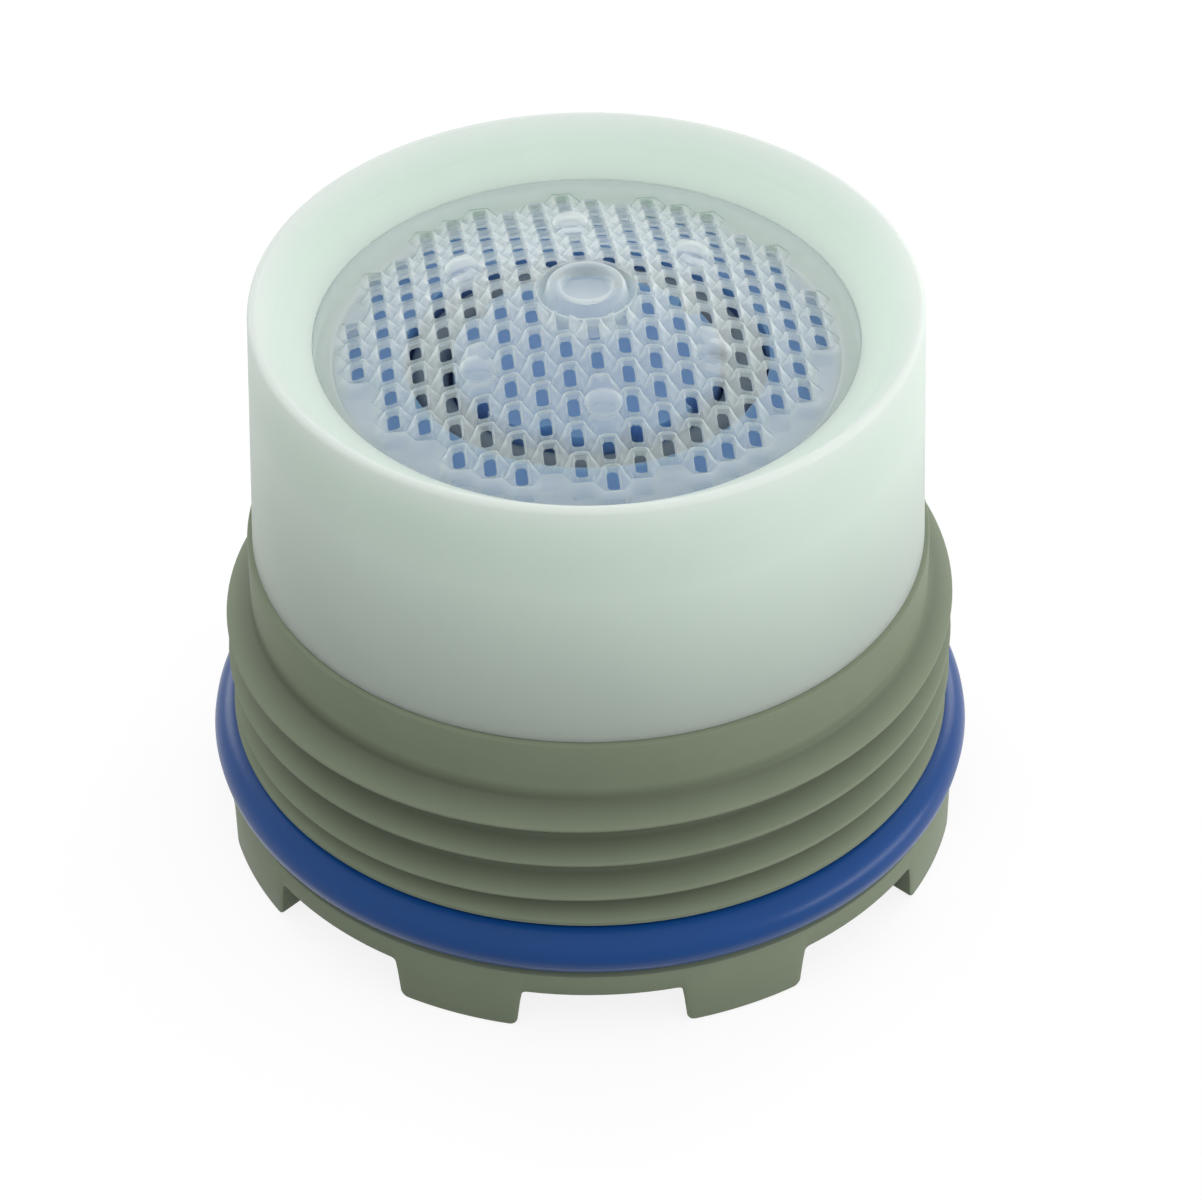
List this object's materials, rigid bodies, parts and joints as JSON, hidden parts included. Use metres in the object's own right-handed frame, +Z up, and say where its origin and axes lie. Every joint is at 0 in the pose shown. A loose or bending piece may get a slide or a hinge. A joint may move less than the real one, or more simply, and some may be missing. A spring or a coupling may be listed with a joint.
{
  "type": "laminar tap nozzle",
  "caption": "Key-fitted tap nozzle with a castellated outlet crown, rubber seal, threaded sleeve, white cup and clear domed strainer over a flow regulator.",
  "frame": {"origin": "on the nozzle's axis, at the foot of the crown teeth that it stands on", "axes": "+Z up along the axis from the outlet crown to the inlet strainer; a notch of the crown faces -Y"},
  "size_m": [0.0174, 0.0174, 0.0143],
  "materials": {
    "sleeve_grey": "matte grey-green moulded plastic",
    "seal_blue": "semi-gloss blue rubber",
    "cup_white": "milky greenish-white moulded plastic",
    "strainer_clear": "clear moulded plastic",
    "regulator_blue": "bright blue moulded plastic",
    "regulator_black": "black elastic rubber",
    "screen_steel": "fine stainless steel mesh",
    "grid_white": "white moulded plastic"
  },
  "bodies": {
    "root": {"threaded_sleeve": "sleeve_grey", "sealing_ring": "seal_blue", "insert_cup": "cup_white", "strainer": "strainer_clear", "regulator_body": "regulator_blue", "regulator_ring": "regulator_black", "mesh_screen": "screen_steel", "outlet_grid": "grid_white"}
  },
  "joints": []
}
